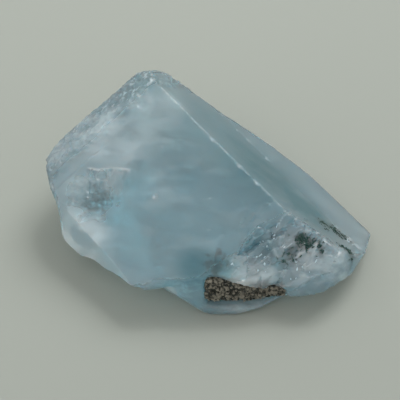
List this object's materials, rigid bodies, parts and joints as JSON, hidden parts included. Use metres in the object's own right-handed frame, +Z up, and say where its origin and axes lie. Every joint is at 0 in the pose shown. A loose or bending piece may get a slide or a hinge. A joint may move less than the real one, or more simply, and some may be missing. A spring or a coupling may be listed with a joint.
{
  "type": "aquamarine crystal",
  "caption": "Rough pale blue beryl prism lying on its side, milky at its grown end, glassy and fractured at its broken end, with a small brown mica crust in a hollow of the front.",
  "frame": {"origin": "middle of the underside of the object's box, on the surface that it rests on", "axes": "+X along the longest side of the box, towards the broken tip; +Y towards the back, away from the crust; +Z up"},
  "size_m": [0.072, 0.0562, 0.0269],
  "materials": {
    "beryl": "pale blue, see-through but milky, satin growth faces and glassy breaks",
    "mica_crust": "brown-grey granular mica and feldspar"
  },
  "bodies": {
    "root": {"aquamarine_crystal": "beryl", "matrix_crust": "mica_crust"}
  },
  "joints": []
}
